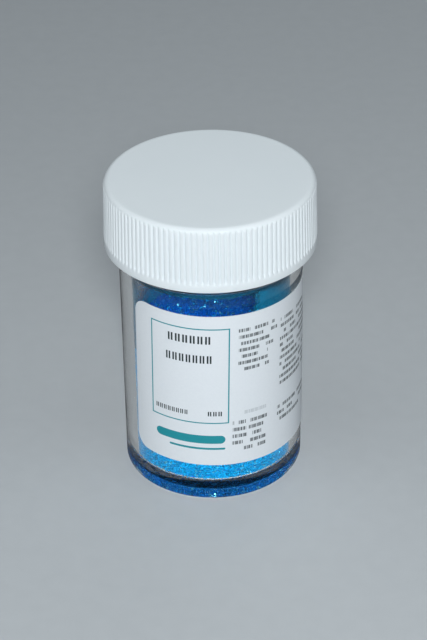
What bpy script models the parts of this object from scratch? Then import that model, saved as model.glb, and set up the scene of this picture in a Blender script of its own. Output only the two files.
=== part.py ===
"""Screw-cap specimen vial: a clear straight-walled jar with a ribbed closure,
a foam liner, a wrap-round paper label and a bed of crystals inside.

Units are metres and +Z is up. The origin is the centre of the foot, on the jar's
axis, and the middle of the label's framed panel faces -Y.
"""

import math

import bmesh
import bpy
from mathutils import Matrix, Vector

OBJECT_NAME = "specimen_vial"

# Jar body
JAR_RADIUS = 0.0153
JAR_INNER_RADIUS = 0.0133
RIM_HEIGHT = 0.0516
SHOULDER_HEIGHT = 0.0412
SHOULDER_ROUNDING = 0.0003
FLOOR_HEIGHT = 0.0032
FLOOR_CORNER_ROUNDING = 0.0005
RIM_ROUNDING = 0.0004
HEEL_ROUNDING = 0.0007
FOOT_INNER_RADIUS = 0.0142
RECESS_DEPTH = 0.0010
RECESS_SLOPE = math.radians(25)
RECESS_ROUNDING = 0.0012

# Screw finish: a right-hand thread of one start
THREAD_LEAD = 0.0254 / 6
THREAD_FADE = math.radians(25)
THREAD_SWEEP = math.radians(400)
THREAD_EMBED = 0.0004
THREAD_END_DEPTH = 0.0001
NECK_RADIUS = 0.01485
NECK_THREAD_CREST_RADIUS = 0.01605
NECK_THREAD_ROOT_WIDTH = 0.0024
NECK_THREAD_CREST_WIDTH = 0.0009
NECK_THREAD_START_HEIGHT = 0.0449
NECK_THREAD_START_ANGLE = math.radians(200)
CAP_THREAD_CREST_RADIUS = 0.01515
CAP_THREAD_ROOT_WIDTH = 0.0016
CAP_THREAD_CREST_WIDTH = 0.0006
CAP_THREAD_LAG = math.radians(95)
CAP_THREAD_RISE_TO_FLANK = 0.0004

# Closure
CAP_BOTTOM_HEIGHT = 0.0429
CAP_HEIGHT = 0.0113
CAP_BOTTOM_RADIUS = 0.0177
CAP_TOP_RADIUS = 0.0174
CAP_TOP_ROUNDING = 0.00105
CAP_EDGE_ROUNDING = 0.0002
CAP_INNER_RADIUS = 0.01635
CAP_TOP_THICKNESS = 0.0012
CAP_MOUTH_CHAMFER = 0.0003

# Grip ribs, made by cutting the grooves between them
RIB_COUNT = 120
GROOVE_RADIUS = 0.00027
GROOVE_DEPTH_TOP = 0.00016
GROOVE_DEPTH_BOTTOM = 0.0003
GRIP_BAND_HEIGHT = 0.00115
GROOVE_RAMP_HEIGHT = 0.0009
GROOVE_OVERSHOOT = 0.0005
GROOVE_RAMP_CLEARANCE = 0.00006

# Liner
PART_GAP = 0.0003
LINER_THICKNESS = 0.0008
LINER_EDGE_ROUNDING = 0.00015

# Label
LABEL_BOTTOM_HEIGHT = 0.00735
LABEL_TOP_HEIGHT = 0.0370
LABEL_TILT = math.radians(1.0)
LABEL_LEFT_ANGLE = math.radians(-55)
LABEL_RIGHT_ANGLE = math.radians(100)
LABEL_CORNER_RADIUS = 0.0025
LABEL_THICKNESS = 0.00012
LABEL_GAP = 0.0001
LABEL_CORNER_COLUMNS = 6
LABEL_MIDDLE_COLUMNS = 48

# Crystal bed
FILL_MEAN_HEIGHT = 0.0253
FILL_SLOPE = Vector((-0.11, 0.03))
FILL_HUMP_HEIGHT = 0.0005
FILL_HUMP_LENGTH = 0.0075
FILL_RINGS = 6
FILL_FOOT_ROUNDING = 0.0005

# Fineness of the meshes
JAR_STEPS = 72
CAP_STEPS = 60
FILL_STEPS = 48
MERGE_DISTANCE = 0.000005


def clear_scene():
    for obj in list(bpy.data.objects):
        bpy.data.objects.remove(obj, do_unlink=True)


def new_collection(name):
    collection = bpy.data.collections.new(name)
    bpy.context.scene.collection.children.link(collection)
    return collection


def new_material(name, colour, roughness, transmission=0.0, ior=1.5):
    material = bpy.data.materials.new(name)
    material.use_nodes = True
    shader = material.node_tree.nodes["Principled BSDF"]
    shader.inputs["Base Color"].default_value = (*colour, 1.0)
    shader.inputs["Roughness"].default_value = roughness
    shader.inputs["Metallic"].default_value = 0.0
    shader.inputs["Transmission Weight"].default_value = transmission
    shader.inputs["IOR"].default_value = ior
    material.diffuse_color = (*colour, 1.0)
    return material


def arc(centre_x, centre_z, radius, start_degrees, end_degrees, segments):
    """Points (x, z) along an arc, both ends included."""
    points = []
    for i in range(segments + 1):
        angle = math.radians(start_degrees + (end_degrees - start_degrees) * i / segments)
        points.append((centre_x + radius * math.cos(angle), centre_z + radius * math.sin(angle)))
    return points


def new_object(name, mesh, collection, material=None):
    obj = bpy.data.objects.new(name, mesh)
    collection.objects.link(obj)
    if material:
        mesh.materials.append(material)
    return obj


def turned(name, profile, steps, collection, material):
    """A solid turned about Z from a profile of (x, z) points that starts and ends on the axis."""
    mesh = bpy.data.meshes.new(name)
    edges = [(i, i + 1) for i in range(len(profile) - 1)]
    mesh.from_pydata([(x, 0.0, z) for x, z in profile], edges, [])
    obj = new_object(name, mesh, collection, material)
    screw = obj.modifiers.new("turn", "SCREW")
    screw.axis = "Z"
    screw.angle = math.tau
    screw.steps = steps
    screw.render_steps = steps
    screw.use_merge_vertices = True
    screw.merge_threshold = MERGE_DISTANCE
    screw.use_smooth_shade = True
    return obj


def as_helper(obj):
    obj.hide_render = True
    obj.display_type = "WIRE"
    return obj


def add_boolean(obj, operation, other):
    boolean = obj.modifiers.new(operation.lower(), "BOOLEAN")
    boolean.operation = operation
    boolean.object = other
    boolean.solver = "EXACT"


def fade(angle, sweep):
    """0 at either end of a thread and 1 along its middle, with a smooth change between."""
    share = min(1.0, angle / THREAD_FADE, (sweep - angle) / THREAD_FADE)
    return share * share * (3.0 - 2.0 * share)


def helical_ridge(name, radii, widths, start_angle, start_height, steps_per_turn, collection):
    """A loft of trapezoid sections along a right-hand helix, its back buried in the wall. The crest
    comes out of the wall at one end and sinks into it at the other, so every section differs from
    the next and no sweep makes it."""
    root_radius, crest_radius = radii
    root_width, crest_width = widths
    into_wall = math.copysign(1.0, root_radius - crest_radius)
    back_radius = root_radius + into_wall * THREAD_EMBED
    buried_radius = root_radius + into_wall * THREAD_END_DEPTH
    flank = (root_width - crest_width) / abs(crest_radius - root_radius)
    back_width = root_width + flank * THREAD_EMBED
    count = round(THREAD_SWEEP / math.tau * steps_per_turn)
    ridge = bmesh.new()
    rings = []
    for i in range(count + 1):
        along = THREAD_SWEEP * i / count
        top_radius = buried_radius + (crest_radius - buried_radius) * fade(along, THREAD_SWEEP)
        top_width = crest_width + flank * abs(crest_radius - top_radius)
        height = start_height + THREAD_LEAD * along / math.tau
        section = (
            (back_radius, height - back_width / 2),
            (top_radius, height - top_width / 2),
            (top_radius, height + top_width / 2),
            (back_radius, height + back_width / 2),
        )
        outward = Vector((math.cos(start_angle + along), math.sin(start_angle + along), 0.0))
        rings.append([ridge.verts.new(outward * radius + Vector((0, 0, z))) for radius, z in section])
    for ring, following in zip(rings, rings[1:]):
        for j in range(len(ring)):
            k = (j + 1) % len(ring)
            ridge.faces.new((ring[j], ring[k], following[k], following[j]))
    ridge.faces.new(rings[0])
    ridge.faces.new(rings[-1])
    bmesh.ops.triangulate(ridge, faces=ridge.faces)
    bmesh.ops.recalc_face_normals(ridge, faces=ridge.faces)
    mesh = bpy.data.meshes.new(name)
    ridge.to_mesh(mesh)
    ridge.free()
    return as_helper(new_object(name, mesh, collection))


def make_jar(parts, helpers, material):
    corner_x = JAR_INNER_RADIUS - FLOOR_CORNER_ROUNDING
    corner_z = FLOOR_HEIGHT + FLOOR_CORNER_ROUNDING
    rim_z = RIM_HEIGHT - RIM_ROUNDING
    shoulder_x = JAR_RADIUS - SHOULDER_ROUNDING
    shoulder_z = SHOULDER_HEIGHT - SHOULDER_ROUNDING
    recess_edge_x = FOOT_INNER_RADIUS - RECESS_DEPTH / math.tan(RECESS_SLOPE)
    recess_x = recess_edge_x - RECESS_ROUNDING * math.tan(RECESS_SLOPE / 2)
    recess_z = RECESS_DEPTH - RECESS_ROUNDING
    slope_degrees = math.degrees(RECESS_SLOPE)

    profile = [(0.0, FLOOR_HEIGHT)]
    profile += arc(corner_x, corner_z, FLOOR_CORNER_ROUNDING, -90, 0, segments=3)
    profile += arc(JAR_INNER_RADIUS + RIM_ROUNDING, rim_z, RIM_ROUNDING, 180, 90, segments=3)
    profile += arc(NECK_RADIUS - RIM_ROUNDING, rim_z, RIM_ROUNDING, 90, 0, segments=3)
    profile += arc(shoulder_x, shoulder_z, SHOULDER_ROUNDING, 90, 0, segments=2)
    profile += arc(JAR_RADIUS - HEEL_ROUNDING, HEEL_ROUNDING, HEEL_ROUNDING, 0, -90, segments=4)
    profile += [(FOOT_INNER_RADIUS, 0.0)]
    profile += arc(recess_x, recess_z, RECESS_ROUNDING, 90 - slope_degrees, 90, segments=2)
    profile += [(0.0, RECESS_DEPTH)]
    jar = turned("jar_body", profile, JAR_STEPS, parts, material)
    ridge = helical_ridge(
        "neck_thread",
        (NECK_RADIUS, NECK_THREAD_CREST_RADIUS),
        (NECK_THREAD_ROOT_WIDTH, NECK_THREAD_CREST_WIDTH),
        NECK_THREAD_START_ANGLE,
        NECK_THREAD_START_HEIGHT,
        JAR_STEPS,
        helpers,
    )
    add_boolean(jar, "UNION", ridge)
    return jar


def cap_outer_radius(height):
    """The closure's outside radius at a height above its open end: it tapers in with the draft."""
    share = height / (CAP_HEIGHT - CAP_TOP_ROUNDING)
    return CAP_BOTTOM_RADIUS + (CAP_TOP_RADIUS - CAP_BOTTOM_RADIUS) * share


def groove_centre_radius(height):
    share = height / CAP_HEIGHT
    depth = GROOVE_DEPTH_BOTTOM + (GROOVE_DEPTH_TOP - GROOVE_DEPTH_BOTTOM) * share
    return cap_outer_radius(height) - depth + GROOVE_RADIUS


def make_groove_cutter(origin, helpers):
    """One tube along a groove, running out to the surface above the smooth band, repeated
    round the axis."""
    top = CAP_HEIGHT + GROOVE_OVERSHOOT
    ramp_top = GRIP_BAND_HEIGHT + GROOVE_RAMP_HEIGHT
    outside = cap_outer_radius(GRIP_BAND_HEIGHT) + GROOVE_RADIUS + GROOVE_RAMP_CLEARANCE
    path = [
        (groove_centre_radius(top), top),
        (groove_centre_radius(ramp_top), ramp_top),
        (outside, GRIP_BAND_HEIGHT),
    ]
    curve = bpy.data.curves.new("groove_path", "CURVE")
    curve.dimensions = "3D"
    spline = curve.splines.new("POLY")
    spline.points.add(len(path) - 1)
    for point, (x, z) in zip(spline.points, path):
        point.co = (x, 0.0, z, 1.0)
    curve.bevel_depth = GROOVE_RADIUS
    curve.bevel_resolution = 1
    curve.use_fill_caps = True
    guide = new_object("groove_guide", curve, helpers)
    guide.location = origin
    quarter_step = math.tau / CAP_STEPS / 4
    guide.rotation_euler.z = quarter_step
    bpy.context.view_layer.update()
    evaluated = guide.evaluated_get(bpy.context.evaluated_depsgraph_get())
    mesh = bpy.data.meshes.new_from_object(evaluated)
    tube = bmesh.new()
    tube.from_mesh(mesh)
    bmesh.ops.remove_doubles(tube, verts=tube.verts, dist=MERGE_DISTANCE)
    bmesh.ops.recalc_face_normals(tube, faces=tube.faces)
    tube.to_mesh(mesh)
    tube.free()
    cutter = as_helper(new_object("groove_cutter", mesh, helpers))
    cutter.matrix_world = guide.matrix_world
    bpy.data.objects.remove(guide, do_unlink=True)

    turn = bpy.data.objects.new("groove_pitch", None)
    helpers.objects.link(turn)
    turn.matrix_world = cutter.matrix_world @ Matrix.Rotation(math.tau / RIB_COUNT, 4, "Z")
    array = cutter.modifiers.new("round_the_cap", "ARRAY")
    array.use_relative_offset = False
    array.use_object_offset = True
    array.offset_object = turn
    array.count = RIB_COUNT
    array.use_merge_vertices = False
    return cutter


def make_cap(parts, helpers, material):
    inner_top = CAP_HEIGHT - CAP_TOP_THICKNESS
    top_x = CAP_TOP_RADIUS - CAP_TOP_ROUNDING
    top_z = CAP_HEIGHT - CAP_TOP_ROUNDING
    edge_x = CAP_BOTTOM_RADIUS - CAP_EDGE_ROUNDING
    profile = [(0.0, CAP_HEIGHT)]
    profile += arc(top_x, top_z, CAP_TOP_ROUNDING, 90, 0, segments=4)
    profile += arc(edge_x, CAP_EDGE_ROUNDING, CAP_EDGE_ROUNDING, 0, -90, segments=2)
    profile += [
        (CAP_INNER_RADIUS + CAP_MOUTH_CHAMFER, 0.0),
        (CAP_INNER_RADIUS, CAP_MOUTH_CHAMFER),
        (CAP_INNER_RADIUS, inner_top),
        (0.0, inner_top),
    ]
    cap = turned("screw_cap", profile, CAP_STEPS, parts, material)
    cap.location.z = CAP_BOTTOM_HEIGHT

    neck_thread_height = NECK_THREAD_START_HEIGHT + THREAD_LEAD * CAP_THREAD_LAG / math.tau
    start_height = neck_thread_height - THREAD_LEAD / 2 + CAP_THREAD_RISE_TO_FLANK
    ridge = helical_ridge(
        "cap_thread",
        (CAP_INNER_RADIUS, CAP_THREAD_CREST_RADIUS),
        (CAP_THREAD_ROOT_WIDTH, CAP_THREAD_CREST_WIDTH),
        NECK_THREAD_START_ANGLE + CAP_THREAD_LAG,
        start_height - CAP_BOTTOM_HEIGHT,
        CAP_STEPS,
        helpers,
    )
    ridge.location = cap.location
    add_boolean(cap, "UNION", ridge)
    add_boolean(cap, "DIFFERENCE", make_groove_cutter(cap.location, helpers))
    return cap


def make_liner(parts, material):
    edge_x = CAP_INNER_RADIUS - PART_GAP - LINER_EDGE_ROUNDING
    upper_z = LINER_THICKNESS - LINER_EDGE_ROUNDING
    profile = [(0.0, LINER_THICKNESS)]
    profile += arc(edge_x, upper_z, LINER_EDGE_ROUNDING, 90, 0, segments=1)
    profile += arc(edge_x, LINER_EDGE_ROUNDING, LINER_EDGE_ROUNDING, 0, -90, segments=1)
    profile += [(0.0, 0.0)]
    liner = turned("cap_liner", profile, CAP_STEPS, parts, material)
    liner.location.z = RIM_HEIGHT + PART_GAP
    return liner


def label_column(index):
    """Distance along the label for each column of its grid, with close columns at the corners."""
    width = JAR_RADIUS * (LABEL_RIGHT_ANGLE - LABEL_LEFT_ANGLE)
    last = 2 * LABEL_CORNER_COLUMNS + LABEL_MIDDLE_COLUMNS
    if index < LABEL_CORNER_COLUMNS:
        quarter = math.pi / 2 * index / LABEL_CORNER_COLUMNS
        return LABEL_CORNER_RADIUS * (1.0 - math.cos(quarter))
    if index > last - LABEL_CORNER_COLUMNS:
        return width - label_column(last - index)
    share = (index - LABEL_CORNER_COLUMNS) / LABEL_MIDDLE_COLUMNS
    return LABEL_CORNER_RADIUS + (width - 2 * LABEL_CORNER_RADIUS) * share


def label_corner_inset(distance):
    """How far a rounded corner brings the label's edge in, at a distance from its end."""
    width = JAR_RADIUS * (LABEL_RIGHT_ANGLE - LABEL_LEFT_ANGLE)
    into_corner = LABEL_CORNER_RADIUS - min(distance, width - distance)
    if into_corner <= 0.0:
        return 0.0
    return LABEL_CORNER_RADIUS - math.sqrt(LABEL_CORNER_RADIUS**2 - into_corner**2)


def make_label(parts, material):
    columns = 2 * LABEL_CORNER_COLUMNS + LABEL_MIDDLE_COLUMNS
    sheet = bmesh.new()
    bmesh.ops.create_grid(sheet, x_segments=columns, y_segments=1, size=1.0)
    radius = JAR_RADIUS + LABEL_GAP
    middle_height = (LABEL_BOTTOM_HEIGHT + LABEL_TOP_HEIGHT) / 2
    for vert in sheet.verts:
        index = round((vert.co.x + 1.0) / 2.0 * columns)
        distance = label_column(index)
        along = distance + LABEL_LEFT_ANGLE * JAR_RADIUS
        inset = label_corner_inset(distance)
        top_edge = vert.co.y > 0.0
        height = LABEL_TOP_HEIGHT - inset if top_edge else LABEL_BOTTOM_HEIGHT + inset
        angle = (along + (height - middle_height) * math.tan(LABEL_TILT)) / JAR_RADIUS
        height -= along * math.tan(LABEL_TILT)
        vert.co = Vector((radius * math.sin(angle), -radius * math.cos(angle), height))
    bmesh.ops.recalc_face_normals(sheet, faces=sheet.faces)
    first = next(iter(sheet.faces))
    if first.normal.dot(first.calc_center_median() * Vector((1, 1, 0))) < 0.0:
        bmesh.ops.reverse_faces(sheet, faces=sheet.faces)
    mesh = bpy.data.meshes.new("label")
    sheet.to_mesh(mesh)
    sheet.free()
    mesh.shade_smooth()
    label = new_object("label", mesh, parts, material)
    solidify = label.modifiers.new("paper", "SOLIDIFY")
    solidify.thickness = LABEL_THICKNESS
    solidify.offset = 1.0
    return label


def fill_surface_height(x, y):
    """Height of the crystal bed's free surface: tilted, with a low swell across it."""
    slope = FILL_SLOPE.x * x + FILL_SLOPE.y * y
    swell = math.sin(x / FILL_HUMP_LENGTH * math.pi) * math.cos(y / FILL_HUMP_LENGTH * math.pi)
    return FILL_MEAN_HEIGHT + slope + FILL_HUMP_HEIGHT * swell


def make_crystal_fill(parts, material):
    radius = JAR_INNER_RADIUS - PART_GAP
    foot = FLOOR_HEIGHT + PART_GAP
    flat_top = [(radius * i / FILL_RINGS, FILL_MEAN_HEIGHT) for i in range(FILL_RINGS + 1)]
    corner_x = radius - FILL_FOOT_ROUNDING
    corner_z = foot + FILL_FOOT_ROUNDING
    foot_corner = arc(corner_x, corner_z, FILL_FOOT_ROUNDING, 0, -90, segments=3)
    guide = turned("fill_guide", flat_top + foot_corner + [(0.0, foot)], FILL_STEPS, parts, None)
    bpy.context.view_layer.update()
    evaluated = guide.evaluated_get(bpy.context.evaluated_depsgraph_get())
    mesh = bpy.data.meshes.new_from_object(evaluated)
    bpy.data.objects.remove(guide, do_unlink=True)
    top_start = FILL_MEAN_HEIGHT - PART_GAP
    for vertex in mesh.vertices:
        if vertex.co.z > top_start:
            vertex.co.z = fill_surface_height(vertex.co.x, vertex.co.y)
    mesh.name = "crystal_fill"
    return new_object("crystal_fill", mesh, parts, material)


def main():
    clear_scene()
    parts = new_collection(OBJECT_NAME)
    helpers = new_collection(OBJECT_NAME + "_helpers")

    clear_plastic = new_material("clear_polystyrene", (0.93, 0.95, 0.96), 0.04, 1.0, 1.59)
    white_plastic = new_material("white_polypropylene", (0.86, 0.88, 0.89), 0.38)
    white_foam = new_material("white_foam", (0.80, 0.80, 0.77), 0.80)
    paper = new_material("label_paper", (0.78, 0.80, 0.81), 0.55)
    crystals = new_material("blue_crystals", (0.0, 0.22, 0.62), 0.25)

    make_jar(parts, helpers, clear_plastic)
    make_label(parts, paper)
    make_crystal_fill(parts, crystals)

    cap_axis = bpy.data.objects.new("cap_axis", None)
    parts.objects.link(cap_axis)
    cap_axis.empty_display_size = CAP_HEIGHT
    for piece in (make_cap(parts, helpers, white_plastic), make_liner(parts, white_foam)):
        piece.parent = cap_axis


main()
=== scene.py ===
"""Looks for the screw-cap specimen vial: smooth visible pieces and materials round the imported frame.

Units are metres and +Z is up. The label's framed panel faces -Y, towards the camera.
"""

import math

import bmesh
import bpy
import numpy as np
from mathutils import Matrix, Vector


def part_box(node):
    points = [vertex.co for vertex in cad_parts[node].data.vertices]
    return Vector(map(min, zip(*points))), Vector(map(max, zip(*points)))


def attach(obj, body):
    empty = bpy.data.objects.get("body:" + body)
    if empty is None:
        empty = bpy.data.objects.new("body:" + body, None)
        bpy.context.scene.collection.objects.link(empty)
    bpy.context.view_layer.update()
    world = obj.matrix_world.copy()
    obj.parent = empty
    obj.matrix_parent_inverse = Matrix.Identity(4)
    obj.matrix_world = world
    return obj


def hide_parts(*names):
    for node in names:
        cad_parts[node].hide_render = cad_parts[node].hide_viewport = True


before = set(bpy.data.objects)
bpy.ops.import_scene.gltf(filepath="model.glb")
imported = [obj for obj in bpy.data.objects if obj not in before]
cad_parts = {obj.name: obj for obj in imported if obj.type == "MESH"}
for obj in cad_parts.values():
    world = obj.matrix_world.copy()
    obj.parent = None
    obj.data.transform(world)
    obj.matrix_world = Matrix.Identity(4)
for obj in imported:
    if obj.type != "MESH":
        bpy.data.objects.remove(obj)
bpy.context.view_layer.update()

MM = 0.001

# Heights and radii read from the frame
JAR_LOW, JAR_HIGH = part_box("jar_body")
CAP_LOW, CAP_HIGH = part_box("screw_cap")
FILL_LOW, FILL_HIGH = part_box("crystal_fill")
RIM_Z = JAR_HIGH.z
CAP_BOTTOM_Z = CAP_LOW.z
CAP_TOP_Z = CAP_HIGH.z
CAP_RADIUS = CAP_HIGH.x
NECK_CREST_RADIUS = JAR_HIGH.x
CAD_GAP = 0.3 * MM
WALL_THICKNESS = 2.0 * MM
JAR_INNER_RADIUS = FILL_HIGH.x + CAD_GAP
FLOOR_Z = FILL_LOW.z - CAD_GAP
JAR_RADIUS = JAR_INNER_RADIUS + WALL_THICKNESS

# Jar
NECK_RADIUS = 14.85 * MM
SHOULDER_Z = RIM_Z - 10.4 * MM
SHOULDER_ROUNDING = 0.35 * MM
HEEL_ROUNDING = 0.7 * MM
FOOT_INNER_RADIUS = 14.2 * MM
RECESS_DEPTH = 1.0 * MM
RECESS_SLOPE = math.radians(25)
RECESS_ROUNDING = 1.2 * MM
FLOOR_CORNER_ROUNDING = 0.5 * MM
RIM_ROUNDING = 0.45 * MM
JAR_COLUMNS = 192
NECK_ROWS = 84

# Thread: one start, right-hand, six turns to the inch
THREAD_LEAD = 25.4 * MM / 6
THREAD_SWEEP = math.radians(400)
THREAD_FADE = math.radians(25)
NECK_THREAD_ANGLE = math.radians(200)
NECK_THREAD_Z = RIM_Z - 6.7 * MM
NECK_THREAD_ROOT_WIDTH = 2.4 * MM
NECK_THREAD_CREST_WIDTH = 0.9 * MM
CAP_THREAD_ANGLE = NECK_THREAD_ANGLE + math.radians(95)
CAP_THREAD_Z = NECK_THREAD_Z + THREAD_LEAD * 95 / 360 - THREAD_LEAD / 2 + 0.4 * MM
CAP_THREAD_ROOT_WIDTH = 1.6 * MM
CAP_THREAD_CREST_WIDTH = 0.6 * MM
CAP_THREAD_CREST_RADIUS = 15.15 * MM

# Closure
CAP_TOP_RADIUS = 17.4 * MM
CAP_TOP_ROUNDING = 1.05 * MM
CAP_EDGE_ROUNDING = 0.15 * MM
CAP_INNER_RADIUS = 16.35 * MM
CAP_TOP_THICKNESS = 1.2 * MM
CAP_MOUTH_ROUNDING = 0.3 * MM
RIB_COUNT = 120
RIB_SAMPLES = 12
RIB_CREST_SHARE = 0.34
GROOVE_DEPTH_TOP = 0.2 * MM
GROOVE_DEPTH_BOTTOM = 0.34 * MM
GRIP_BAND_HEIGHT = 1.15 * MM
GROOVE_RAMP_HEIGHT = 0.9 * MM
CAP_INNER_COLUMNS = 240
CAP_SKIRT_ROWS = 26
CAP_THREAD_ROWS = 70

# Label
LABEL_LEFT_ANGLE = math.radians(-55)
LABEL_RIGHT_ANGLE = math.radians(100)
LABEL_BOTTOM_Z = FLOOR_Z + 4.15 * MM
LABEL_TOP_Z = LABEL_BOTTOM_Z + 29.65 * MM
LABEL_TILT = math.radians(1.0)
LABEL_CORNER_RADIUS = 2.5 * MM
LABEL_THICKNESS = 0.09 * MM
LABEL_GLUE_GAP = 0.02 * MM
LABEL_CORNER_COLUMNS = 10
LABEL_MIDDLE_COLUMNS = 150
LABEL_SIGHT_MARGIN = 2.4 * MM

# Crystals
CRYSTAL_SIZE = 0.34 * MM
CRYSTAL_SIZE_SPREAD = 0.11 * MM
CRYSTAL_LENGTHENING = 0.45
CRYSTAL_SLANT = 0.35
CRYSTAL_CHIP = 0.38
CRYSTAL_ROUGHEST = 0.5
CRYSTAL_GLOSSIEST = 0.15
GLINT_FROM = 0.88
CLINGING_COUNT = 3600
CLINGING_REACH = 4.5 * MM
WALL_CLEARANCE = 0.04 * MM
FLOOR_CONTACT = 0.03 * MM
CORE_INSET = 0.36 * MM
DUST_CLEARANCE = 0.015 * MM
DUST_THICKNESS = 0.02 * MM
DUST_TOP_Z = SHOULDER_Z + 1.6 * MM
# A ring of dust just under the cap, coloured darker as the cap's painted shadow
DUST_AND_SHADOW_RING_Z = SHOULDER_Z - 2.0 * MM
DUST_RIGHT_EDGE = 0.5
DUST_LEFT_EDGE = -0.84
FILL_MEAN_Z = FLOOR_Z + 22.1 * MM
FILL_SLOPE = Vector((-0.11, 0.03))
FILL_HUMP = 0.5 * MM
FILL_HUMP_LENGTH = 7.5 * MM

# Camera, a little above the cap and looking down at it
CAMERA_DISTANCE = 282.4 * MM
CAMERA_HEIGHT = 208.85 * MM
CAMERA_PITCH = math.radians(32.847)
CAMERA_YAW = math.radians(0.058)
CAMERA_ROLL = math.radians(-0.843)
CAMERA_LENS = 111.3

# Crystal colours, deepest and brightest
WALL_DEEP, WALL_BRIGHT = (0.0, 0.15, 0.4, 1.0), (0.0, 0.43, 0.83, 1.0)
# The loose crystals' colours are a darker copy of the wall's: painted shade on the free surface
SHADED_LOOSE_DEEP, SHADED_LOOSE_BRIGHT = (0.0, 0.06, 0.4, 1.0), (0.0, 0.17, 0.8, 1.0)
# The floor crystals' colours are a lighter copy of the wall's: painted light on the layer seen from
# below
LIT_FLOOR_DEEP, LIT_FLOOR_BRIGHT = (0.0, 0.19, 0.85, 1.0), (0.0, 0.38, 1.0, 1.0)
GLINT_COLOUR = (0.2, 0.8, 1.0, 1.0)

# Lights: name, azimuth and elevation in degrees, distance, size, power, colour
LIGHTS = [
    ("key", 0.5, 35.0, 0.5, 0.1, 1.85, (0.965, 0.99, 1.0)),
    ("fill_left", -80.0, 30.0, 0.7, 0.4, 0.3, (0.93, 0.97, 1.0)),
    ("fill_right", 80.0, 30.0, 0.7, 0.4, 0.3, (0.93, 0.97, 1.0)),
    ("top", 0.0, 80.0, 0.8, 0.6, 1.0, (0.84, 0.96, 1.0)),
    ("back", 165.0, 40.0, 0.8, 0.5, 0.5, (0.9, 0.97, 1.0)),
]
WORLD_COLOUR = (0.86, 0.92, 1.0, 1.0)
WORLD_STRENGTH = 0.1


# ---------------------------------------------------------------- mesh helpers


def arc(centre_x, centre_z, radius, start_degrees, end_degrees, segments):
    """Points (x, z) along an arc, both ends included."""
    points = []
    for i in range(segments + 1):
        angle = math.radians(start_degrees + (end_degrees - start_degrees) * i / segments)
        points.append((centre_x + radius * math.cos(angle), centre_z + radius * math.sin(angle)))
    return points


def straight(start, end, segments):
    """Points between two (x, z) points, both ends left out. They close up towards the ends, so that
    the shading of a rounded corner doesn't spread along the wall next to it."""
    shares = [(1.0 - math.cos(math.pi * i / segments)) / 2.0 for i in range(1, segments)]
    return [(start[0] + (end[0] - start[0]) * s, start[1] + (end[1] - start[1]) * s) for s in shares]


def object_from(name, vertices, faces, smooth=True):
    """A new object from vertices and faces, linked to the scene."""
    mesh = bpy.data.meshes.new(name)
    mesh.from_pydata([tuple(v) for v in vertices], [], faces)
    mesh.validate()
    if smooth:
        mesh.shade_smooth()
    obj = bpy.data.objects.new(name, mesh)
    bpy.context.scene.collection.objects.link(obj)
    return obj


def smoothstep(share):
    share = np.clip(share, 0.0, 1.0)
    return share * share * (3.0 - 2.0 * share)


class Lathe:
    """Rings of points round the Z axis, skinned one to the next. Rings may differ in count when
    one is a whole multiple of the other."""

    def __init__(self):
        self.vertices = []
        self.faces = []
        self.last = None

    def ring(self, points):
        start = len(self.vertices)
        self.vertices += [tuple(p) for p in points]
        new = list(range(start, start + len(points)))
        if self.last is not None:
            self.skin(self.last, new)
        self.last = new

    def skin(self, above, below):
        if len(above) == len(below):
            for i in range(len(above)):
                j = (i + 1) % len(above)
                self.faces.append((above[i], below[i], below[j], above[j]))
            return
        wide, narrow = (above, below) if len(above) > len(below) else (below, above)
        ratio = len(wide) // len(narrow)
        for i, hub in enumerate(narrow):
            after = narrow[(i + 1) % len(narrow)]
            rim = [wide[(i * ratio + k) % len(wide)] for k in range(ratio + 1)]
            middle = ratio // 2
            fans = [(hub, rim[k], rim[k + 1]) for k in range(middle)]
            fans.append((hub, rim[middle], after))
            fans += [(after, rim[k], rim[k + 1]) for k in range(middle, ratio)]
            for fan in fans:
                self.faces.append(fan if wide is below else tuple(reversed(fan)))

    def pole(self, z):
        """Starts or closes the surface with one point on the axis."""
        self.vertices.append((0.0, 0.0, z))
        tip = len(self.vertices) - 1
        if self.last is None:
            self.first_tip = tip
            return
        for i in range(len(self.last)):
            self.faces.append((self.last[i], tip, self.last[(i + 1) % len(self.last)]))

    def open_pole(self, ring):
        """Joins the starting point to the first ring."""
        for i in range(len(ring)):
            self.faces.append((self.first_tip, ring[i], ring[(i + 1) % len(ring)]))


def circle_points(radii, heights, count):
    """A ring of points, with one radius and height or one of each per point."""
    angles = np.arange(count) * math.tau / count
    radii = np.broadcast_to(radii, count)
    heights = np.broadcast_to(heights, count)
    return np.stack([radii * np.cos(angles), radii * np.sin(angles), heights], axis=1)


def thread_height(angles, z, start_angle, start_z, root_width, crest_width):
    """How far a thread stands off its wall, from 0 to 1, at each angle of a ring at height z."""
    height = np.zeros_like(angles)
    for turn in range(-1, 3):
        along = angles - start_angle + turn * math.tau
        inside = (along >= 0.0) & (along <= THREAD_SWEEP)
        offset = np.abs(z - start_z - THREAD_LEAD * along / math.tau)
        flank = (root_width / 2 - offset) / (root_width / 2 - crest_width / 2)
        ends = np.minimum(along / THREAD_FADE, (THREAD_SWEEP - along) / THREAD_FADE)
        height = np.maximum(height, np.where(inside, smoothstep(flank) * smoothstep(ends), 0.0))
    return height


# ---------------------------------------------------------------- the pieces


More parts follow.
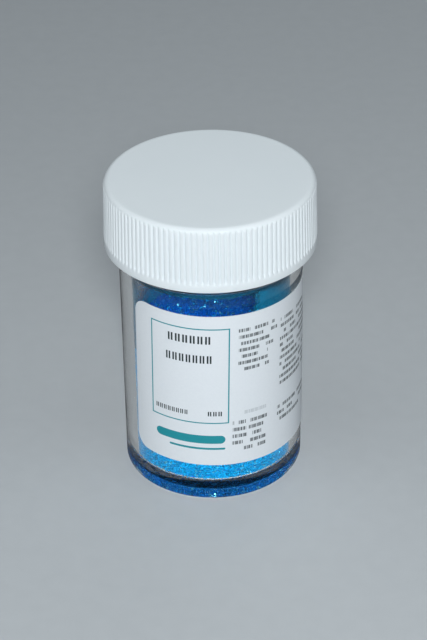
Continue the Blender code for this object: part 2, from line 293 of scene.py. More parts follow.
def make_jar():
    """The clear jar as one closed surface: inside, rim, threaded neck, outside and underside."""
    neck_bottom = SHOULDER_Z + 0.25 * MM
    neck_top = RIM_Z - RIM_ROUNDING
    inner_corner = arc(
        JAR_INNER_RADIUS - FLOOR_CORNER_ROUNDING,
        FLOOR_Z + FLOOR_CORNER_ROUNDING,
        FLOOR_CORNER_ROUNDING,
        -90,
        0,
        8,
    )
    inner_rim = arc(
        JAR_INNER_RADIUS + RIM_ROUNDING, RIM_Z - RIM_ROUNDING, RIM_ROUNDING, 180, 90, 6
    )
    outer_rim = arc(NECK_RADIUS - RIM_ROUNDING, RIM_Z - RIM_ROUNDING, RIM_ROUNDING, 90, 0, 6)
    shoulder = arc(
        JAR_RADIUS - SHOULDER_ROUNDING,
        SHOULDER_Z - SHOULDER_ROUNDING,
        SHOULDER_ROUNDING,
        75,
        0,
        6,
    )
    heel = arc(JAR_RADIUS - HEEL_ROUNDING, HEEL_ROUNDING, HEEL_ROUNDING, 0, -90, 10)
    recess_edge = FOOT_INNER_RADIUS - RECESS_DEPTH / math.tan(RECESS_SLOPE)
    recess = arc(
        recess_edge - RECESS_ROUNDING * math.tan(RECESS_SLOPE / 2),
        RECESS_DEPTH - RECESS_ROUNDING,
        RECESS_ROUNDING,
        90 - math.degrees(RECESS_SLOPE),
        90,
        8,
    )
    foot_edge = (FOOT_INNER_RADIUS, 0.0)

    floor = straight((0.0, FLOOR_Z), inner_corner[0], 14)
    inner_wall = straight(inner_corner[-1], inner_rim[0], 24)
    before_neck = floor + inner_corner + inner_wall + inner_rim + outer_rim
    body_wall = straight(shoulder[-1], heel[0], 24)
    foot = straight(heel[-1], foot_edge, 6) + [foot_edge] + straight(foot_edge, recess[0], 12)
    underside = straight(recess[-1], (0.0, RECESS_DEPTH), 14)
    after_neck = shoulder + body_wall + heel + foot + recess + underside

    angles = np.arange(JAR_COLUMNS) * math.tau / JAR_COLUMNS
    jar = Lathe()
    jar.pole(FLOOR_Z)
    for r, z in before_neck:
        jar.ring(circle_points(r, z, JAR_COLUMNS))
        if (r, z) == before_neck[0]:
            jar.open_pole(jar.last)
    for i in range(1, NECK_ROWS):
        z = neck_top + (neck_bottom - neck_top) * i / NECK_ROWS
        stands = thread_height(
            angles,
            z,
            NECK_THREAD_ANGLE,
            NECK_THREAD_Z,
            NECK_THREAD_ROOT_WIDTH,
            NECK_THREAD_CREST_WIDTH,
        )
        radii = NECK_RADIUS + (NECK_CREST_RADIUS - NECK_RADIUS) * stands
        jar.ring(circle_points(radii, z, JAR_COLUMNS))
    for r, z in after_neck:
        jar.ring(circle_points(r, z, JAR_COLUMNS))
    jar.pole(RECESS_DEPTH)
    return object_from("vial_jar", jar.vertices, jar.faces)


def groove_profile():
    """Depth of the grooves across one rib pitch, from 0 on the crest to 1 in the valley."""
    share = np.arange(RIB_SAMPLES) / RIB_SAMPLES
    from_crest = np.abs((share + 0.5) % 1.0 - 0.5) * 2.0
    return smoothstep((from_crest - RIB_CREST_SHARE) / (1.0 - RIB_CREST_SHARE))


def make_cap():
    """The cap as one closed surface: flat top, ribbed skirt, mouth and threaded inside."""
    height = CAP_TOP_Z - CAP_BOTTOM_Z
    wall_top = height - CAP_TOP_ROUNDING
    inner_top = height - CAP_TOP_THICKNESS
    outer_columns = RIB_COUNT * RIB_SAMPLES
    across = np.tile(groove_profile(), RIB_COUNT)
    angles = np.arange(CAP_INNER_COLUMNS) * math.tau / CAP_INNER_COLUMNS

    def wall_radius(z):
        return CAP_RADIUS + (CAP_TOP_RADIUS - CAP_RADIUS) * min(1.0, z / wall_top)

    def valley_radius(z):
        depth = GROOVE_DEPTH_BOTTOM + (GROOVE_DEPTH_TOP - GROOVE_DEPTH_BOTTOM) * z / height
        return wall_radius(z) - depth

    def grooved(radius, z):
        """The ring at a height: the grooves cut in only as far as the surface stands out there."""
        ramp = smoothstep((z - GRIP_BAND_HEIGHT) / GROOVE_RAMP_HEIGHT)
        depth = max(0.0, radius - valley_radius(z)) * ramp
        return circle_points(radius - depth * across, CAP_BOTTOM_Z + z, outer_columns)

    cap = Lathe()
    cap.pole(CAP_TOP_Z)
    flat_radius = CAP_TOP_RADIUS - CAP_TOP_ROUNDING
    for i in range(1, 9):
        cap.ring(circle_points(flat_radius * i / 8 * 0.985, CAP_TOP_Z, CAP_INNER_COLUMNS))
        if i == 1:
            cap.open_pole(cap.last)
    for r, z in arc(flat_radius, wall_top, CAP_TOP_ROUNDING, 90, 0, 12):
        cap.ring(grooved(r, z))
    ramp_top = GRIP_BAND_HEIGHT + GROOVE_RAMP_HEIGHT
    skirt = [wall_top + (ramp_top - wall_top) * i / CAP_SKIRT_ROWS for i in range(1, CAP_SKIRT_ROWS)]
    skirt += [ramp_top + (GRIP_BAND_HEIGHT - ramp_top) * i / 8 for i in range(9)]
    for z in skirt:
        cap.ring(grooved(wall_radius(z), z))
    for r, z in arc(CAP_RADIUS - CAP_EDGE_ROUNDING, CAP_EDGE_ROUNDING, CAP_EDGE_ROUNDING, 0, -90, 5):
        cap.ring(circle_points(r, CAP_BOTTOM_Z + z, outer_columns))
    mouth = arc(
        CAP_INNER_RADIUS + CAP_MOUTH_ROUNDING, CAP_MOUTH_ROUNDING, CAP_MOUTH_ROUNDING, -90, -180, 5
    )
    for r, z in mouth:
        cap.ring(circle_points(r, CAP_BOTTOM_Z + z, CAP_INNER_COLUMNS))
    for i in range(1, CAP_THREAD_ROWS + 1):
        z = CAP_MOUTH_ROUNDING + (inner_top - CAP_MOUTH_ROUNDING) * i / CAP_THREAD_ROWS
        stands = thread_height(
            angles,
            CAP_BOTTOM_Z + z,
            CAP_THREAD_ANGLE,
            CAP_THREAD_Z,
            CAP_THREAD_ROOT_WIDTH,
            CAP_THREAD_CREST_WIDTH,
        )
        radii = CAP_INNER_RADIUS + (CAP_THREAD_CREST_RADIUS - CAP_INNER_RADIUS) * stands
        cap.ring(circle_points(radii, CAP_BOTTOM_Z + z, CAP_INNER_COLUMNS))
    for i in range(7, 0, -1):
        cap.ring(circle_points(CAP_INNER_RADIUS * i / 8, CAP_BOTTOM_Z + inner_top, CAP_INNER_COLUMNS))
    cap.pole(CAP_BOTTOM_Z + inner_top)
    return object_from("ribbed_cap", cap.vertices, cap.faces)


def label_columns(width):
    """Distances along the label, closer together in its rounded corners."""
    quarter = [math.pi / 2 * i / LABEL_CORNER_COLUMNS for i in range(LABEL_CORNER_COLUMNS)]
    corner = [LABEL_CORNER_RADIUS * (1.0 - math.cos(a)) for a in quarter]
    span = width - 2 * LABEL_CORNER_RADIUS
    count = LABEL_MIDDLE_COLUMNS
    middle = [LABEL_CORNER_RADIUS + span * i / count for i in range(count + 1)]
    return corner + middle + [width - d for d in reversed(corner)]


def make_label():
    """A paper sheet with rounded corners, bent round the jar and put on a little askew, with a UV
    map in millimetres from the front centre line and the sheet's lower edge."""
    width = JAR_RADIUS * (LABEL_RIGHT_ANGLE - LABEL_LEFT_ANGLE)
    columns = label_columns(width)
    rows = 24
    radius = JAR_RADIUS + LABEL_GLUE_GAP
    sheet = bmesh.new()
    uv_layer = sheet.loops.layers.uv.new("PrintMM")
    grid = []
    for distance in columns:
        into_corner = LABEL_CORNER_RADIUS - min(distance, width - distance)
        inset = 0.0
        if into_corner > 0.0:
            inset = LABEL_CORNER_RADIUS - math.sqrt(
                max(0.0, LABEL_CORNER_RADIUS**2 - into_corner**2)
            )
        height = LABEL_TOP_Z - LABEL_BOTTOM_Z
        along = distance + LABEL_LEFT_ANGLE * JAR_RADIUS
        column = []
        for j in range(rows + 1):
            up = inset + (height - 2 * inset) * j / rows
            angle = (along + (up - height / 2) * math.tan(LABEL_TILT)) / JAR_RADIUS
            z = LABEL_BOTTOM_Z + up - along * math.tan(LABEL_TILT)
            vert = sheet.verts.new((radius * math.sin(angle), -radius * math.cos(angle), z))
            column.append((vert, (along / MM, up / MM)))
        grid.append(column)
    for i in range(len(grid) - 1):
        for j in range(rows):
            corners = (grid[i][j], grid[i + 1][j], grid[i + 1][j + 1], grid[i][j + 1])
            face = sheet.faces.new([vert for vert, _ in corners])
            face.smooth = True
            for loop, (_, place) in zip(face.loops, corners):
                loop[uv_layer].uv = place
    for edge in sheet.edges:
        edge.smooth = not edge.is_boundary  # keeps the sheet's shading flat up to its edge
    mesh = bpy.data.meshes.new("paper_label")
    sheet.to_mesh(mesh)
    sheet.free()
    label = bpy.data.objects.new("paper_label", mesh)
    bpy.context.scene.collection.objects.link(label)
    solidify = label.modifiers.new("paper", "SOLIDIFY")
    solidify.thickness = LABEL_THICKNESS
    solidify.offset = 1.0
    solidify.material_offset = 1
    solidify.material_offset_rim = 1
    # Shadow rays go straight through the plastic, so its shadow would fall on the wrong crystals
    label.visible_shadow = False
    return label


def fill_height(x, y):
    """Height of the crystal bed's free surface."""
    slope = FILL_SLOPE.x * x + FILL_SLOPE.y * y
    swell = np.sin(x / FILL_HUMP_LENGTH * math.pi) * np.cos(y / FILL_HUMP_LENGTH * math.pi)
    return FILL_MEAN_Z + slope + FILL_HUMP * swell


def make_core():
    """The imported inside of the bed, just behind the outermost crystals."""
    radius = JAR_INNER_RADIUS - CORE_INSET
    foot = FLOOR_Z + CORE_INSET
    columns = 96
    angles = np.arange(columns) * math.tau / columns
    rings = 14
    core = Lathe()
    core.pole(float(fill_height(0.0, 0.0)) - CORE_INSET)
    for i in range(1, rings + 1):
        r = radius * i / rings
        z = fill_height(r * np.cos(angles), r * np.sin(angles)) - CORE_INSET
        core.ring(circle_points(r, z, columns))
        if i == 1:
            core.open_pole(core.last)
    for r, z in arc(radius - MM, foot + MM, MM, 0, -90, 6):
        core.ring(circle_points(r, z, columns))
    for i in range(5, 0, -1):
        core.ring(circle_points((radius - MM) * i / 6, foot, columns))
    core.pole(foot)
    return object_from("crystal_bed_core", core.vertices, core.faces)


CRYSTAL_CORNERS = np.array(
    [(x, y, z) for x in (-0.5, 0.5) for y in (-0.5, 0.5) for z in (-0.5, 0.5)]
)
CRYSTAL_FACES = np.array(
    [(0, 1, 3, 2), (4, 6, 7, 5), (0, 4, 5, 1), (2, 3, 7, 6), (0, 2, 6, 4), (1, 5, 7, 3)]
)


def random_turns(count, rng):
    """Rotation matrices spread evenly over all directions."""
    quaternions = rng.normal(size=(count, 4))
    quaternions /= np.linalg.norm(quaternions, axis=1, keepdims=True)
    w, x, y, z = quaternions.T
    rows = [
        [1 - 2 * (y * y + z * z), 2 * (x * y - z * w), 2 * (x * z + y * w)],
        [2 * (x * y + z * w), 1 - 2 * (x * x + z * z), 2 * (y * z - x * w)],
        [2 * (x * z - y * w), 2 * (y * z + x * w), 1 - 2 * (x * x + y * y)],
    ]
    return np.array(rows).transpose(2, 0, 1)


def crystal_shapes(count, size, rng):
    """Corner offsets of slanted, chipped prisms, each turned its own way."""
    sizes = size + CRYSTAL_SIZE_SPREAD * rng.uniform(-1.0, 1.0, (count, 1, 1)) * size / CRYSTAL_SIZE
    stretch = 1.0 + CRYSTAL_LENGTHENING * rng.uniform(-1.0, 1.0, (count, 1, 3))
    chips = 1.0 - rng.uniform(0.0, CRYSTAL_CHIP, (count, 8, 3))
    corners = CRYSTAL_CORNERS * stretch * chips * sizes
    slant = rng.uniform(-CRYSTAL_SLANT, CRYSTAL_SLANT, (count, 2))
    corners[:, :, 0] += corners[:, :, 2] * slant[:, :1]
    corners[:, :, 1] += corners[:, :, 2] * slant[:, 1:]
    return np.einsum("nij,nkj->nki", random_turns(count, rng), corners)


def crystals_object(name, corners):
    """One object of many crystals, from their corners."""
    count = len(corners)
    faces = (CRYSTAL_FACES[None] + (np.arange(count) * 8)[:, None, None]).reshape(-1, 4)
    return object_from(name, corners.reshape(-1, 3), faces.tolist(), smooth=False)


def pushed_inside(corners, limit):
    """Moves each crystal towards the axis until none of its corners is beyond the limit radius."""
    centre = corners.mean(axis=1)
    outward = centre[:, :2] / np.linalg.norm(centre[:, :2], axis=1, keepdims=True)
    beyond = np.linalg.norm(corners[:, :, :2], axis=2).max(axis=1) - limit
    corners = corners.copy()
    corners[:, :, :2] -= (outward * beyond[:, None])[:, None, :]
    return corners


def behind_label(centres):
    """True for places on the inner wall that the label hides from every side."""
    from_middle = (LABEL_LEFT_ANGLE + LABEL_RIGHT_ANGLE) / 2
    angle = np.arctan2(centres[:, 0], -centres[:, 1]) - from_middle
    reach = (LABEL_RIGHT_ANGLE - LABEL_LEFT_ANGLE) / 2 - LABEL_SIGHT_MARGIN / JAR_RADIUS
    above = centres[:, 2] > LABEL_BOTTOM_Z + LABEL_SIGHT_MARGIN
    return above & (np.abs(angle) < reach)


def make_wall_crystals(rng):
    """The layer pressed against the inner wall, from the floor's corner to the free surface."""
    limit = JAR_INNER_RADIUS - WALL_CLEARANCE
    pitch = CRYSTAL_SIZE * 0.85
    around = int(math.tau * JAR_INNER_RADIUS / pitch)
    bottom = FLOOR_Z + CRYSTAL_SIZE / 2
    levels = int((FILL_HIGH.z + 0.5 * MM - bottom) / pitch)
    angle, level = np.meshgrid(np.arange(around), np.arange(levels))
    angle = (angle.ravel() + rng.uniform(0, 1, angle.size)) * math.tau / around
    z = bottom + (level.ravel() + rng.uniform(0, 1, level.size)) * pitch
    centres = np.stack([limit * np.cos(angle), limit * np.sin(angle), z], axis=1)
    top = fill_height(centres[:, 0], centres[:, 1]) + rng.normal(0, 0.15 * MM, len(centres))
    centres = centres[(centres[:, 2] < top) & ~behind_label(centres)]
    corners = centres[:, None, :] + crystal_shapes(len(centres), CRYSTAL_SIZE, rng)
    corners[:, :, 2] += np.maximum(0.0, FLOOR_Z + WALL_CLEARANCE - corners[:, :, 2].min(axis=1))[:, None]
    return crystals_object("wall_crystals", pushed_inside(corners, limit))


def scattered_disc(radius, pitch, rng):
    """Jittered points that fill a disc, about one for each pitch squared."""
    steps = int(2 * radius / pitch) + 1
    column, row = np.meshgrid(np.arange(steps), np.arange(steps))
    x = -radius + (column.ravel() + rng.uniform(0, 1, column.size)) * pitch
    y = -radius + (row.ravel() + rng.uniform(0, 1, row.size)) * pitch
    inside = np.hypot(x, y) < radius
    return x[inside], y[inside]


def make_surface_crystals(rng):
    """The loose crystals that lie on the free surface."""
    x, y = scattered_disc(JAR_INNER_RADIUS - CRYSTAL_SIZE * 0.6, CRYSTAL_SIZE * 0.62, rng)
    z = fill_height(x, y) + rng.normal(-0.08 * MM, 0.12 * MM, len(x))
    corners = np.stack([x, y, z], axis=1)[:, None, :] + crystal_shapes(len(x), CRYSTAL_SIZE, rng)
    reach = np.linalg.norm(corners[:, :, :2], axis=2).max(axis=1)
    return crystals_object("surface_crystals", corners[reach < JAR_INNER_RADIUS - WALL_CLEARANCE])


def make_floor_crystals(rng):
    """The layer that lies on the jar's floor, seen from below through it."""
    x, y = scattered_disc(JAR_INNER_RADIUS - FLOOR_CORNER_ROUNDING * 0.7, CRYSTAL_SIZE * 0.7, rng)
    shapes = crystal_shapes(len(x), CRYSTAL_SIZE, rng)
    z = FLOOR_Z - FLOOR_CONTACT - shapes[:, :, 2].min(axis=1)
    corners = np.stack([x, y, z], axis=1)[:, None, :] + shapes
    return crystals_object("floor_crystals", corners)


def make_clinging_crystals(rng):
    """Fine grains that cling to the wall above the free surface, fewer the higher they are."""
    limit = JAR_INNER_RADIUS - WALL_CLEARANCE
    angle = rng.uniform(0, math.tau, CLINGING_COUNT)
    x, y = limit * np.cos(angle), limit * np.sin(angle)
    z = fill_height(x, y) + rng.exponential(CLINGING_REACH, CLINGING_COUNT)
    keep = z < RIM_Z - 2 * MM
    centres = np.stack([x, y, z], axis=1)[keep]
    corners = centres[:, None, :] + crystal_shapes(len(centres), CRYSTAL_SIZE * 0.45, rng)
    return crystals_object("clinging_crystals", pushed_inside(corners, limit))


def make_dust_film():
    """The film of crystal dust on the wall above the bed, as a thin closed sleeve."""
    outer = JAR_INNER_RADIUS - DUST_CLEARANCE
    inner = outer - DUST_THICKNESS
    columns = 144
    angles = np.arange(columns) * math.tau / columns
    foot = fill_height(outer * np.cos(angles), outer * np.sin(angles)) - CRYSTAL_SIZE
    rows = 16
    rings = []
    for i in range(rows + 1):
        z = foot + (DUST_TOP_Z - foot) * i / rows
        rings.append(circle_points(outer, z, columns))
    for i in range(rows, -1, -1):
        z = foot + (DUST_TOP_Z - foot) * i / rows
        rings.append(circle_points(inner, z, columns))
    vertices = np.concatenate(rings)
    faces = []
    for ring in range(len(rings)):
        following = (ring + 1) % len(rings)
        for i in range(columns):
            j = (i + 1) % columns
            lower, upper = ring * columns, following * columns
            faces.append((lower + i, lower + j, upper + j, upper + i))
    return object_from("dust_film", vertices, faces)


# ---------------------------------------------------------------- materials


class Nodes:
    """Short calls for building a material's node tree."""

    def __init__(self, name):
        self.material = bpy.data.materials.new(name)
        self.material.use_nodes = True
        self.tree = self.material.node_tree
        self.shader = self.tree.nodes["Principled BSDF"]
        self.output = self.tree.nodes["Material Output"]

    def add(self, kind, inputs=(), **settings):
        node = self.tree.nodes.new(kind)
        for key, value in settings.items():
            setattr(node, key, value)
        for name, value in dict(inputs).items():
            self.feed(node.inputs[name], value)
        return node

    def feed(self, socket, value):
        if isinstance(value, bpy.types.NodeSocket):
            self.tree.links.new(value, socket)
        else:
            socket.default_value = value

    def math(self, operation, a, b=0.0, c=0.0):
        node = self.add("ShaderNodeMath", {0: a, 1: b, 2: c}, operation=operation)
        return node.outputs[0]

    def noise(self, vector, scale, detail=2.0, roughness=0.5):
        inputs = {"Vector": vector, "Scale": scale, "Detail": detail, "Roughness": roughness}
        return self.add("ShaderNodeTexNoise", inputs).outputs["Fac"]

    def remap(self, value, low, high, to_low, to_high):
        inputs = {0: value, 1: low, 2: high, 3: to_low, 4: to_high}
        return self.add("ShaderNodeMapRange", inputs, clamp=True).outputs[0]

    def mix(self, factor, a, b):
        node = self.add("ShaderNodeMix", data_type="RGBA")
        self.feed(node.inputs["Factor"], factor)
        self.feed(node.inputs[6], a)
        self.feed(node.inputs[7], b)
        return node.outputs[2]

    def bump(self, height, strength, distance):
        inputs = {"Height": height, "Strength": strength, "Distance": distance}
        return self.add("ShaderNodeBump", inputs).outputs["Normal"]

    def blend_shaders(self, factor, first, second):
        """Sends a mix of two shaders to the surface output."""
        mixed = self.add("ShaderNodeMixShader", {"Fac": factor})
        self.tree.links.new(first.outputs[0], mixed.inputs[1])
        self.tree.links.new(second.outputs[0], mixed.inputs[2])
        self.tree.links.new(mixed.outputs[0], self.output.inputs["Surface"])
        return self.material

    def object_coordinates(self):
        return self.add("ShaderNodeTexCoord").outputs["Object"]

    def set(self, **values):
        for name, value in values.items():
            self.feed(self.shader.inputs[name.replace("_", " ")], value)
        return self.material


def clear_plastic_material():
    """Polished polystyrene: handling smears in the gloss, a slow moulding ripple, and shadows that
    let the light through. Its reflections are tinted, because white ones grey the crystals."""
    n = Nodes("clear_polystyrene")
    place = n.object_coordinates()
    smears = n.noise(place, 90.0, 4.0, 0.6)
    ripple = n.noise(place, 110.0, 1.0, 0.4)
    n.set(
        Base_Color=(0.965, 0.985, 0.99, 1.0),
        Roughness=n.remap(smears, 0.35, 0.75, 0.008, 0.05),
        Transmission_Weight=1.0,
        IOR=1.59,
        Specular_Tint=(0.25, 0.7, 1.0, 1.0),
        Normal=n.bump(ripple, 0.06, 0.0004),
    )
    see_through = n.add("ShaderNodeBsdfTransparent", {"Color": (0.93, 0.96, 0.97, 1.0)})
    shadow_ray = n.add("ShaderNodeLightPath").outputs["Is Shadow Ray"]
    return n.blend_shaders(shadow_ray, n.shader, see_through)


def cap_material():
    """White polypropylene: a satin moulded grain, slight clouding and softly scattered light."""
    n = Nodes("white_polypropylene")
    place = n.object_coordinates()
    clouds = n.noise(place, 60.0, 3.0)
    grain = n.noise(place, 5200.0, 2.0)
    scuffs = n.noise(place, 420.0, 5.0, 0.65)
    white = n.mix(clouds, (0.77, 0.825, 0.855, 1.0), (0.815, 0.865, 0.89, 1.0))
    n.set(
        Base_Color=white,
        Roughness=n.remap(scuffs, 0.35, 0.7, 0.4, 0.55),
        Specular_IOR_Level=0.15,
        Subsurface_Weight=0.12,
        Subsurface_Radius=(1.0, 1.0, 1.0),
        Subsurface_Scale=0.0008,
        IOR=1.49,
        Normal=n.bump(grain, 0.12, 0.00003),
    )
    return n.material


def crystal_material(name, deep, bright):
    """Blue crystals: each grain its own depth of colour, clear or cloudy. A few are made partly
    metallic, so that they glint."""
    n = Nodes(name)
    place = n.object_coordinates()
    grain = n.add("ShaderNodeNewGeometry").outputs["Random Per Island"]
    veins = n.noise(place, 2600.0, 2.0)
    tone = n.math("MULTIPLY_ADD", veins, 0.5, n.math("MULTIPLY", grain, 0.6))
    glint = n.remap(grain, GLINT_FROM, GLINT_FROM + 0.02, 0.0, 0.8)
    n.set(
        Base_Color=n.mix(glint, n.mix(tone, deep, bright), GLINT_COLOUR),
        Metallic=glint,
        Roughness=n.remap(grain, 0.0, 1.0, CRYSTAL_ROUGHEST, CRYSTAL_GLOSSIEST),
        Transmission_Weight=n.remap(grain, 0.5, 0.7, 0.0, 0.35),
        IOR=1.53,
        Specular_IOR_Level=n.math("MULTIPLY_ADD", glint, 0.9, 0.1),
        Specular_Tint=(0.15, 0.7, 1.0, 1.0),
        Normal=n.bump(veins, 0.25, 0.00004),
    )
    return n.material


def dust_and_shadow_material():
    """Fine dust on the wall above the bed: a teal film on the right, a thin one on the left, a blue
    one at the back, a ring under the cap darkened as the cap's painted shadow, and a wiped
    window at the front."""
    n = Nodes("crystal_dust_and_shadow")
    place = n.object_coordinates()
    split = n.add("ShaderNodeSeparateXYZ", {0: place})
    x, y, z = split.outputs
    grain = n.noise(place, 3000.0, 3.0, 0.7)
    drift = n.noise(place, 260.0, 3.0)
    side = n.math("DIVIDE", x, JAR_INNER_RADIUS)
    side = n.math("ADD", side, n.math("MULTIPLY_ADD", drift, 0.12, -0.06))
    right = n.remap(side, DUST_RIGHT_EDGE - 0.05, DUST_RIGHT_EDGE + 0.1, 0.0, 1.2)
    left = n.remap(side, DUST_LEFT_EDGE - 0.04, DUST_LEFT_EDGE + 0.06, 0.8, 0.0)
    back = n.remap(y, -2.0 * MM, 2.0 * MM, 0.0, 1.0)
    # The ring under the cap: dust, with the cap's shadow painted into its darker teal
    ring = n.remap(z, DUST_AND_SHADOW_RING_Z, DUST_AND_SHADOW_RING_Z + 0.7 * MM, 0.0, 0.9)
    above = n.remap(z, FILL_MEAN_Z + 1.0 * MM, FILL_MEAN_Z + 12.0 * MM, 0.9, 0.1)
    front = n.math("MULTIPLY", n.math("MAXIMUM", left, right), n.math("SUBTRACT", 1.0, back))
    cover = n.math("ADD", front, n.math("MULTIPLY", back, above))
    cover = n.math("MAXIMUM", cover, ring)
    cover = n.math("ADD", cover, n.math("MULTIPLY", n.math("SUBTRACT", drift, 0.5), 0.4))
    solid = n.remap(n.math("ADD", cover, n.math("MULTIPLY", grain, 0.9)), 0.75, 1.25, 0.0, 1.0)
    tone = n.noise(place, 1300.0, 3.0, 0.7)
    teal = n.mix(tone, (0.0, 0.06, 0.15, 1.0), (0.0, 0.17, 0.3, 1.0))
    # Darker teal in the ring: the cap's painted shadow
    teal = n.mix(ring, teal, (0.0, 0.055, 0.125, 1.0))
    blue = n.mix(tone, (0.0, 0.12, 0.35, 1.0), (0.0, 0.32, 0.68, 1.0))
    n.set(Base_Color=n.mix(back, teal, blue), Roughness=0.7, Specular_IOR_Level=0.05)
    bare = n.add("ShaderNodeBsdfTransparent")
    return n.blend_shaders(solid, bare, n.shader)


def core_and_shade_material():
    """Packed grains as fine cells, seen only in the gaps between the real ones, coloured darker than
    them as painted shade.
    """
    n = Nodes("crystal_core_and_shade")
    place = n.object_coordinates()
    cells = n.add("ShaderNodeTexVoronoi", {"Vector": place, "Scale": 2600.0})
    tone = n.math("FRACT", n.math("MULTIPLY", cells.outputs["Distance"], 2.3))
    n.set(
        # Darker than the crystals: painted shade in the gaps between them
        Base_Color=n.mix(tone, (0.0, 0.08, 0.3, 1.0), (0.0, 0.22, 0.55, 1.0)),
        Roughness=0.5,
        Specular_IOR_Level=0.1,
        Normal=n.bump(cells.outputs["Distance"], 0.8, 0.0002),
    )
    return n.material


def liner_material():
    """Closed-cell foam: shallow cells and a faint mottle."""
    n = Nodes("liner_foam")
    place = n.object_coordinates()
    cells = n.add("ShaderNodeTexVoronoi", {"Vector": place, "Scale": 3200.0})
    mottle = n.noise(place, 500.0, 3.0)
    n.set(
        Base_Color=n.mix(mottle, (0.72, 0.72, 0.68, 1.0), (0.82, 0.82, 0.79, 1.0)),
        Roughness=0.82,
        Normal=n.bump(cells.outputs["Distance"], 0.5, 0.00008),
    )
    return n.material


def paper_back_material():
    """Plain uncoated paper for the label's back and cut edges."""
    n = Nodes("label_back")
    fibres = n.noise(n.object_coordinates(), 1800.0, 4.0)
    n.set(
        Base_Color=n.mix(fibres, (0.68, 0.71, 0.72, 1.0), (0.78, 0.80, 0.81, 1.0)),
        Roughness=0.7,
    )
    return n.material


class Print:
    """Masks for the label's print, each 1 on ink and 0 on paper, in millimetres on the label."""

    def __init__(self, nodes):
        self.n = nodes
        uv = nodes.add("ShaderNodeUVMap", uv_map="PrintMM").outputs["UV"]
        split = nodes.add("ShaderNodeSeparateXYZ", {0: uv})
        self.x, self.y = split.outputs[0], split.outputs[1]

    def between(self, value, low, high):
        above = self.n.math("GREATER_THAN", value, low)
        return self.n.math("MULTIPLY", above, self.n.math("LESS_THAN", value, high))

    def box(self, left, right, bottom, top):
        return self.n.math(
            "MULTIPLY", self.between(self.x, left, right), self.between(self.y, bottom, top)
        )

    def frame(self, left, right, bottom, top, line):
        inside = self.box(left + line, right - line, bottom + line, top - line)
        return self.n.math("SUBTRACT", self.box(left, right, bottom, top), inside)

    def block(self, left, right, top, pitch, lines, ink, word, seed):
        """Lines of broken bars that stand for words: no letters, only their rhythm."""
        m = self.n.math
        down = m("DIVIDE", m("SUBTRACT", top, self.y), pitch)
        line = m("FLOOR", down)
        in_line = m("LESS_THAN", m("FRACT", down), ink)
        ragged = self.n.add(
            "ShaderNodeTexWhiteNoise", {"W": m("ADD", line, seed)}, noise_dimensions="1D"
        )
        length = m("MULTIPLY_ADD", ragged.outputs["Value"], -0.3 * (right - left), right)
        in_length = self.between(self.x, left, length)
        along = m("DIVIDE", m("SUBTRACT", self.x, left), word)
        place = self.n.add("ShaderNodeCombineXYZ", {0: along, 1: m("MULTIPLY", line, 7.3), 2: seed})
        gaps = self.n.noise(place.outputs[0], 1.0, 0.0)
        words = m("GREATER_THAN", gaps, 0.42)
        fine = self.n.add("ShaderNodeCombineXYZ", {0: m("MULTIPLY", along, 7.0), 1: line, 2: seed})
        strokes = self.n.noise(fine.outputs[0], 1.0, 0.0)
        strokes = self.n.remap(strokes, 0.4, 0.52, 0.08, 0.85)
        in_block = self.between(down, 0.0, float(lines))
        mask = m("MULTIPLY", m("MULTIPLY", in_line, in_length), m("MULTIPLY", words, in_block))
        return m("MULTIPLY", mask, strokes)

    def strokes(self, left, right, bottom, top, count):
        """A row of upright strokes in pairs, as a heading's stand-in."""
        m = self.n.math
        step = (right - left) / count
        across = m("FRACT", m("DIVIDE", m("SUBTRACT", self.x, left), step))
        pair = m("ADD", self.between(across, 0.04, 0.28), self.between(across, 0.46, 0.7))
        return m("MULTIPLY", self.box(left, right, bottom, top), pair)

    def rounded_bar(self, left, right, bottom, top):
        """A bar with half-round ends."""
        m = self.n.math
        radius = (top - bottom) / 2
        nearest = self.n.add("ShaderNodeClamp", {0: self.x, 1: left + radius, 2: right - radius})
        across = m("SUBTRACT", self.x, nearest.outputs[0])
        up = m("SUBTRACT", self.y, (top + bottom) / 2)
        distance = m("SQRT", m("ADD", m("MULTIPLY", across, across), m("MULTIPLY", up, up)))
        return m("LESS_THAN", distance, radius)


def union(nodes, masks):
    """One mask that is on wherever any of them is."""
    total = masks[0]
    for mask in masks[1:]:
        total = nodes.math("MAXIMUM", total, mask)
    return total


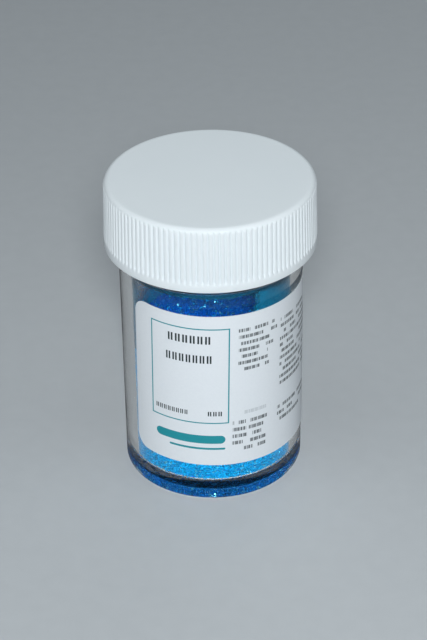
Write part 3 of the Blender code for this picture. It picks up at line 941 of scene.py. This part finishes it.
def label_material():
    """Semi-gloss label paper with a teal frame and mark and dark generic print."""
    n = Nodes("label_paper")
    p = Print(n)
    per_degree = JAR_RADIUS / MM * math.pi / 180

    def at(degrees):
        return degrees * per_degree

    teal_frame = p.frame(at(-40.7), at(10.2), 8.55, 27.3, 0.22)
    mark = p.rounded_bar(at(-37.6), at(8.0), 4.45, 6.1)
    tagline = p.rounded_bar(at(-28.0), at(8.0), 3.2, 3.6)
    dark_masks = [
        p.strokes(at(-28.6), at(-0.4), 24.35, 25.85, 6),
        p.strokes(at(-30.0), at(0.3), 20.6, 22.1, 7),
        p.strokes(at(-37.6), at(-15.0), 10.1, 11.0, 8),
        p.strokes(at(-3.2), at(6.6), 10.1, 11.0, 3),
        p.block(at(15.6), at(44.0), 26.9, 1.26, 7, 0.5, 1.7, 11.0),
        p.block(at(12.3), at(38.0), 8.8, 1.36, 5, 0.52, 1.7, 23.0),
        p.block(at(46.0), at(88.0), 26.4, 1.25, 11, 0.5, 1.7, 37.0),
        p.block(at(44.6), at(84.0), 9.2, 1.3, 3, 0.5, 1.7, 51.0),
    ]
    faint = p.block(at(20.0), at(41.0), 10.7, 1.2, 1, 0.6, 1.3, 67.0)

    place = n.object_coordinates()
    fibres = n.noise(place, 2400.0, 4.0, 0.6)
    sheen = n.noise(place, 120.0, 2.0)
    paper = n.mix(fibres, (0.76, 0.805, 0.85, 1.0), (0.83, 0.87, 0.905, 1.0))
    teal = n.mix(union(n, [teal_frame, mark, tagline]), paper, (0.012, 0.30, 0.36, 1.0))
    dark = n.mix(union(n, dark_masks), teal, (0.015, 0.03, 0.035, 1.0))
    colour = n.mix(n.math("MULTIPLY", faint, 0.4), dark, (0.2, 0.24, 0.26, 1.0))
    n.set(
        Base_Color=colour,
        Roughness=n.remap(sheen, 0.3, 0.7, 0.42, 0.55),
        Normal=n.bump(fibres, 0.08, 0.00003),
    )
    return n.material


# ---------------------------------------------------------------- stage, light and camera


def make_stage():
    bpy.ops.mesh.primitive_plane_add(size=4.0, location=(0.0, 0.0, JAR_LOW.z))
    floor = bpy.context.object
    floor.name = "floor"
    n = Nodes("pale_floor")
    mottle = n.noise(n.object_coordinates(), 300.0, 3.0)
    n.set(
        Base_Color=n.mix(mottle, (0.50, 0.525, 0.545, 1.0), (0.54, 0.565, 0.585, 1.0)),
        Roughness=0.6,
    )
    floor.data.materials.append(n.material)
    floor.visible_glossy = False  # keeps the pale floor out of the jar's reflections


def area_light(name, azimuth, elevation, distance, size, power, colour):
    """A soft light that faces the vial. Azimuth is from the camera's side, positive to the right."""
    data = bpy.data.lights.new(name, "AREA")
    data.shape = "DISK"
    data.size = size
    data.energy = power
    data.color = colour
    light = bpy.data.objects.new(name, data)
    bpy.context.scene.collection.objects.link(light)
    a, e = math.radians(azimuth), math.radians(elevation)
    centre = Vector((0.0, 0.0, (JAR_LOW.z + CAP_TOP_Z) / 2))
    offset = Vector((math.sin(a) * math.cos(e), -math.cos(a) * math.cos(e), math.sin(e)))
    light.location = centre + offset * distance
    light.rotation_euler = (-offset).to_track_quat("-Z", "Y").to_euler()


def make_lights():
    for light in LIGHTS:
        area_light(*light)
    world = bpy.data.worlds.new("studio")
    bpy.context.scene.world = world
    world.use_nodes = True
    background = world.node_tree.nodes["Background"]
    background.inputs["Color"].default_value = WORLD_COLOUR
    background.inputs["Strength"].default_value = WORLD_STRENGTH


def make_camera():
    data = bpy.data.cameras.new("camera")
    data.sensor_width = 36.0
    data.lens = CAMERA_LENS
    data.clip_start = 0.01
    camera = bpy.data.objects.new("camera", data)
    bpy.context.scene.collection.objects.link(camera)
    aim = Matrix.Rotation(-CAMERA_YAW, 4, "Z") @ Matrix.Rotation(math.pi / 2 - CAMERA_PITCH, 4, "X")
    place = Matrix.Translation((0.0, -CAMERA_DISTANCE, CAMERA_HEIGHT))
    camera.matrix_world = place @ aim @ Matrix.Rotation(CAMERA_ROLL, 4, "Z")
    bpy.context.scene.camera = camera


# ---------------------------------------------------------------- the scene


def dress(obj, body, materials, replaced=()):
    obj.data.materials.clear()
    for material in materials:
        obj.data.materials.append(material)
    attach(obj, body)
    if replaced:
        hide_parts(*replaced)


def main():
    rng = np.random.default_rng(7)
    dress(make_jar(), "jar", [clear_plastic_material()], ["jar_body"])
    dress(make_cap(), "cap", [cap_material()], ["screw_cap"])
    dress(make_label(), "jar", [label_material(), paper_back_material()], ["label"])
    # The bed's core, darker than the crystals as painted shade in the gaps
    dress(make_core(), "jar", [core_and_shade_material()], ["crystal_fill"])
    wall = crystal_material("wall_crystal", WALL_DEEP, WALL_BRIGHT)
    # Loose crystals get the darker copy of the crystal colours, as painted shade
    surface = crystal_material("loose_crystal_painted_shade", SHADED_LOOSE_DEEP, SHADED_LOOSE_BRIGHT)
    # Floor crystals get the lighter copy of the crystal colours, as painted light
    floor = crystal_material("floor_crystal", LIT_FLOOR_DEEP, LIT_FLOOR_BRIGHT)
    dress(make_wall_crystals(rng), "jar", [wall])
    dress(make_surface_crystals(rng), "jar", [surface])
    dress(make_floor_crystals(rng), "jar", [floor])
    dress(make_clinging_crystals(rng), "jar", [wall])
    dress(make_dust_film(), "jar", [dust_and_shadow_material()])

    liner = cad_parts["cap_liner"]
    liner.data.materials.clear()
    liner.data.materials.append(liner_material())

    make_stage()
    make_lights()
    make_camera()
    bpy.context.scene.view_settings.view_transform = "Standard"


main()
